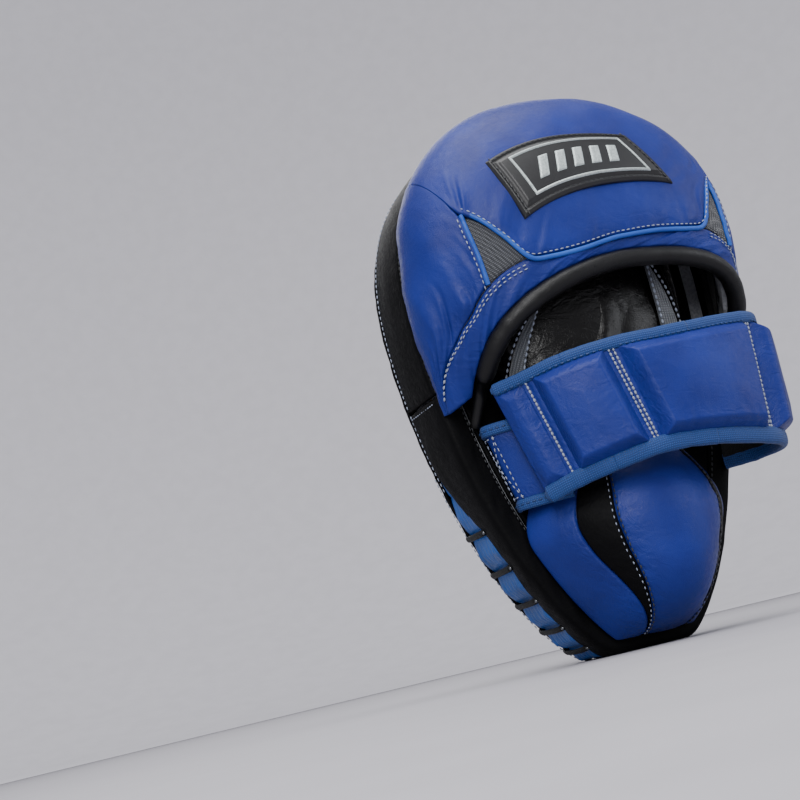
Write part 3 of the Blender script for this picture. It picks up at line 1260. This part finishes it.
def make_pads():
    """The foam-filled leather block between two channels, on each of the strap's bodies."""
    for k, body in enumerate(STRAP_BODIES):
        start, end = CHANNELS[k], CHANNELS[k + 1]
        height = 4.0 if body == "strap_flap" else 8.8
        first = start + (0.012 if k else 0.004)
        last = end - (0.012 if k < 3 else 0)

        def face(u, v, first=first, last=last):
            return strap_surface(lerp(first, last, u), lerp(0.055, 0.945, v))

        u, v = np.linspace(0, 1, int(8 + 50 * (end - start)))[:, None], np.linspace(0, 1, 20)[None, :]
        coarse = face(u, v)
        heights = swelling("pad_cloth", coarse, STRAP_INSIDE, 3.0 if body != "strap_flap" else 1.0)

        def body_of_pad(u, v, along_u, along_v, border, height=height, k=k, heights=heights):
            bend = 2 * noise(along_u / 18, along_v / 14, 5)
            wrinkles = 0.35 * noise(along_u / 3.2 + bend, along_v / 15, 141 + k)
            near_low = np.exp(-(along_v[:, -1:] - along_v) / 12)
            soft = 0.4 * noise(along_u / 24, along_v / 20, 144 + k)
            return pad_profile(border, height) + sampled(heights, u, v) + wrinkles * near_low + soft

        steps = (int(60 + 260 * (end - start)), 90)
        made = panel(body + "_pad_leather", face, steps, STRAP_INSIDE, 1.2, 0, 0.25, 5, 3.2, 131 + k, "lrbt",
                     body_of_pad)
        settle(made, body, [body + "_pad"], BLUE_LEATHER)


def make_strap_lining(k, first, last):
    """One length of the lining behind the pads, ribbed like brushed cloth."""

    def back(u, v):
        return strap_surface(lerp(first, last, u), lerp(0.03, 0.97, v))

    def ribs(u, v, along_u, along_v, border):
        return 0.25 * np.cos(2 * np.pi * along_v / 2.4) - 0.3

    made = panel(f"strap_lining_{k + 1}", back, (60, 24), STRAP_INSIDE, 1.3, 0, 0.15, 6, 4, 151 + k, "bt",
                 ribs, 0)
    made.data.materials.append(LINING)
    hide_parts(STRAP_BODIES[k] + "_lining")
    return made


def make_strap_binding(k, first, last, side, v, half_width, half_height):
    """One length of the tape folded over the strap's upper or lower edge. It thins out at the free end."""
    u = np.linspace(first, last, 90)
    path, normal = on_strap(u, np.full(90, v), 1.1)
    wobble = 1 + 0.06 * noise(u * 60, 0.5, k)
    if k == 3:
        wobble = wobble * lerp(0.45, 1, smooth((1 - u) / 0.012))
    rings = cord_rings(path, normal, half_width * wobble, half_height * np.minimum(wobble, 1), 20, 0.8)
    made = sweep(f"strap_binding_{side}_{k + 1}", rings)
    made.data.materials.append(BINDING)
    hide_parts(f"{STRAP_BODIES[k]}_binding_{side}")
    return made


def make_strap_channel(k, joint):
    """The flat web of leather between two pads, pressed down along its stitches."""

    def web(u, v):
        return strap_surface(lerp(joint - 0.017, joint + 0.017, u), lerp(0.05, 0.95, v))

    def pressed(u, v, along_u, along_v, border):
        groove = 0.5 * np.exp(-(((u - 0.5) / 0.12) ** 2))
        return 1.4 - groove + 0.2 * noise(along_v / 2.5, along_u / 4, 9)

    made = panel(f"strap_channel_{k}", web, (16, 60), STRAP_INSIDE, 0.8, 0, 0, 3, 3, 161 + k, "lr", pressed)
    made.data.materials.append(BLUE_LEATHER)
    return made


# Where the strap's long pieces are cut: in the middle of each pad, so that each length bends at one channel.
STRAP_CUTS = [0, 0.2, 0.55, 0.8, 1]


def make_strap():
    make_pads()
    for k, body in enumerate(STRAP_BODIES):
        before = STRAP_BODIES[k - 1] if k else "mitt"
        first, last = STRAP_CUTS[k], STRAP_CUTS[k + 1]
        joint = CHANNELS[k]
        near, far = strap_surface(np.array([max(0, joint - 0.02), joint + 0.02]), np.array([0.5, 0.5])) * MM
        hinge = (before, body, tuple(near), tuple(far))
        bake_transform(make_strap_lining(k, first, last))
        stitched = np.linspace(joint + (0.02 if k else 0.07), CHANNELS[k + 1] - 0.02, 60)
        for side, v, stitch_v, half_width, half_height in (
            ("upper", 0.035, 0.035 + 0.035, 3.2, 2.0),
            ("lower", 0.97, 0.97 - 0.045, 4.4, 2.6),
        ):
            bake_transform(make_strap_binding(k, first, last, side, v, half_width, half_height))
            stitch_row(body, "teal", on_strap(stitched, np.full(60, stitch_v), 3.0)[0])
        if k == 0:
            continue
        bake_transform(make_strap_channel(k, joint))
        v = np.linspace(0.09, 0.9, 60)
        for shift in (-0.0045, 0.0045) if k < 3 else (0.004,):
            stitch_row(hinge, "chain", on_strap(np.full(60, joint + shift), v, 1.6)[0])


def make_tab():
    inside = (0, 10, 100)

    def face(u, v):
        u, v = np.broadcast_arrays(u, v)
        return lerp(spline(TAB_LOWER, u), spline(TAB_UPPER, u), v[..., None])

    def tab(u, v):
        return face(lerp(0.02, 1, u), lerp(0.05, 0.95, v))

    made = panel("tab_leather", tab, (50, 50), inside, 2.2, 0.4, 0.2, 5, 4, 171, "lrbt")
    settle(made, "mitt", ["tab"], BLUE_LEATHER)
    for side, v in (("upper", 0.98), ("lower", 0.02)):
        t = np.linspace(0.03, 1, 60)
        path = face(t, np.full(60, v))
        normal = unit(np.cross(np.gradient(path, axis=0), np.full((60, 3), [0, 0, 1.0])))
        normal = normal * np.sign(np.sum(normal * (path - np.array(inside))))
        made = sweep(f"tab_tape_{side}", cord_rings(path, normal, 3.0, 1.7, 16, 0.8))
        settle(made, "mitt", [f"tab_binding_{side}"], BINDING)
        stitch_row("mitt", "teal", path + normal * 1.9)

    def row(points, height=1.0):
        u, v = np.array(points, float).T
        t = np.linspace(0, 1, 30)
        count = np.linspace(0, 1, len(u))
        u, v = np.interp(t, count, u), np.interp(t, count, v)
        base = face(u, v)
        normal = unit(np.cross(face(u + 0.01, v) - face(u - 0.01, v), face(u, v + 0.01) - face(u, v - 0.01)))
        normal = normal * np.sign(np.sum(normal * (base - np.array(inside)), -1, keepdims=True))
        stitch_row("mitt", "pale", base + normal * height)

    for route in ([(0.08, 0.12), (0.08, 0.88)], [(0.42, 0.12), (0.42, 0.88)], [(0.08, 0.12), (0.42, 0.88)],
                  [(0.42, 0.12), (0.08, 0.88)], [(0.08, 0.12), (0.42, 0.12)], [(0.08, 0.88), (0.42, 0.88)]):
        row(route)

    def loop_patch(u, v):
        surface = face(lerp(0.8, 0.97, u), lerp(0.1, 0.9, v))
        return surface + normals_of(surface, inside) * 1.9

    def fuzz(u, v, along_u, along_v, border):
        return 0.35 * noise(along_u / 0.9, along_v / 0.9, 181) + 0.3 * noise(along_u / 2.2, along_v / 2, 182)

    made = panel("tab_loop_tape", loop_patch, (40, 60), inside, 1.0, 0, 0, 3, 3, 183, "lrbt", fuzz, 0)
    settle(made, "mitt", ["tab_loop_patch"], FUZZY)

    def hook_patch(u, v):
        surface = strap_surface(lerp(0.925, 0.985, u), lerp(0.2, 0.8, v))
        return surface - normals_of(surface, STRAP_INSIDE) * 1.5

    made = panel("flap_hook_tape", hook_patch, (20, 40), STRAP_INSIDE, 0.9, 0, 0, 3, 3, 184, "lrbt", None, 0)
    settle(made, "strap_flap", ["flap_hook_patch"], FUZZY)


def make_palm():
    angles = np.linspace(0, 360, 240, endpoint=False)
    rim = outline(angles, LIP_WIDTH + 0.8, BACK_Y - 0.3)
    centre = np.array([0, BACK_Y - 0.3, 170.0])
    t = np.linspace(0.01, 1, 50)[None, :, None]
    outer = lerp(centre, rim[:, None], t)
    outer[..., 1] += 0.5 * noise(outer[..., 0] / 14, outer[..., 2] / 17, 7)
    inner = outer - [0, 2.0, 0]
    uv = outer[..., [0, 2]]
    made = sheet_solid("palm_leather", outer, inner, uv, np.full(outer.shape[:2], 9.0), wrap=True)
    settle(made, "mitt", ["palm_panel"], BLACK_LEATHER)


make_target()
make_badge()
make_side_wall()
knots = make_lacing()
make_hood()
make_label()
make_glove()
make_cushion()
make_strap()
make_tab()
make_palm()

bead_group, bead_names = bead_tree()
THREADS = {
    "pale": (3.0, 2.2, 0.32, PALE_THREAD),
    "fine": (3.4, 1.7, 0.3, PALE_THREAD),
    "bold": (3.2, 2.6, 0.6, PALE_THREAD),
    "chain": (2.3, 2.4, 0.62, PALE_THREAD),
    "dark": (3.0, 2.4, 0.42, DARK_THREAD),
    "teal": (3.2, 2.3, 0.4, TEAL_THREAD),
}
for (body, thread), lines in rows.items():
    pitch, length, radius, material = THREADS[thread]
    place = body[1] if isinstance(body, tuple) else body
    beads(f"stitches_{thread}_{place}", lines, bead_group, bead_names, pitch, length, radius, material, body)
beads("lace_eyelets", knots, bead_group, bead_names, 5.0, 2.2, 1.0, EYELET, "mitt")

for node, material in {
    "ring_foam": SOFT_FOAM, "centre_foam": SOFT_FOAM, "back_foam": SOFT_FOAM, "hood_padding": SOFT_FOAM,
    "heel_foam": SOFT_FOAM, "shock_foam": FIRM_FOAM, "backing_board": BOARD,
}.items():
    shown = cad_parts[node]
    shown.data.materials.clear()
    shown.data.materials.append(material)


# ---- studio ----

# Pale matte paper on the floor, and a lighter one on the wall all round.
FLOOR_PAPER = grained("matte_floor_paper", "#98969c", "#9c9aa0", 40, 0.85, 0.00001)
WALL_PAPER = grained("matte_wall_paper", "#f6f4f8", "#faf8fc", 40, 0.85, 0.00001)


def revolved(name, profile, paper, sides=96):
    """A stage surface: a profile of (radius, height) turned about the upright axis."""
    points, faces = [], []
    for radius, height in profile:
        for k in range(sides):
            angle = math.tau * k / sides
            points.append((radius * math.cos(angle), radius * math.sin(angle), height))
    for i in range(len(profile) - 1):
        for k in range(sides):
            a, b = i * sides + k, i * sides + (k + 1) % sides
            faces.append((a, b, b + sides, a + sides))
    mesh = bpy.data.meshes.new(name)
    mesh.from_pydata(points, [], faces)
    mesh.shade_smooth()
    mesh.materials.append(paper)
    obj = link(bpy.data.objects.new(name, mesh))
    return obj


def make_studio():
    """A round floor, and a wall that curves up from it and lets the room's light through."""
    revolved("studio_floor", [(0.001, 0.0), (0.5, 0.0), (2.2, 0.0)], FLOOR_PAPER)
    curve = [(2.2 + 1.2 * math.sin(a), 1.2 - 1.2 * math.cos(a)) for a in np.linspace(0, math.pi / 2, 17)]
    wall = revolved("studio_wall", curve + [(3.4, 6.0)], WALL_PAPER)
    wall.visible_diffuse = False
    wall.visible_glossy = False
    wall.visible_shadow = False


# The camera stands on the hand side, low and close, and is rolled so that the mitt leans to the left.
AZIMUTH = 22.0
ELEVATION = -11.5
DISTANCE = 0.70
ROLL = 13.5
AIM = Vector((0.095, -0.005, 0.1515))
LENS = 75.0 * DISTANCE / 0.866


def make_camera():
    a, e = math.radians(AZIMUTH), math.radians(ELEVATION)
    back = Vector((math.sin(a) * math.cos(e), math.cos(a) * math.cos(e), math.sin(e)))
    camera = bpy.data.objects.new("camera", bpy.data.cameras.new("camera"))
    link(camera)
    camera.data.lens = LENS
    camera.data.sensor_width = 36
    camera.data.clip_start = 0.01
    camera.location = AIM + back * DISTANCE
    turn = (-back).to_track_quat("-Z", "Y").to_matrix()
    camera.matrix_world = Matrix.Translation(camera.location) @ (
        turn @ Matrix.Rotation(math.radians(-ROLL), 3, "Z")).to_4x4()
    bpy.context.scene.camera = camera


def area_light(name, place, aim, size, power, colour=(1, 1, 1)):
    light = bpy.data.lights.new(name, "AREA")
    light.shape = "RECTANGLE"
    light.size, light.size_y = size
    light.energy = power
    light.color = colour
    obj = link(bpy.data.objects.new(name, light))
    obj.location = place
    obj.rotation_euler = (Vector(aim) - Vector(place)).to_track_quat("-Z", "Y").to_euler()


make_studio()
make_camera()
area_light("key_softbox", (0.9, 1.5, 1.5), (0, 0.03, 0.15), (0.8, 0.8), 27)
area_light("fill_softbox", (-1.5, 1.0, 0.7), (0, 0.03, 0.15), (1.0, 1.0), 9, (0.92, 0.95, 1))
area_light("top_softbox", (0.1, 0.25, 1.5), (0, 0.02, 0.15), (1.2, 1.2), 24)
area_light("camera_softbox", (0.55, 1.0, 0.42), (0, 0.04, 0.14), (0.35, 0.35), 4.5)
area_light("front_softbox", (-0.4, -1.5, 1.1), (0, 0, 0.15), (1.2, 1.2), 13)
world = bpy.data.worlds.new("studio_room")
bpy.context.scene.world = world
world.use_nodes = True
world.node_tree.nodes["Background"].inputs["Color"].default_value = linear("#e6e6ee")
world.node_tree.nodes["Background"].inputs["Strength"].default_value = 0.66
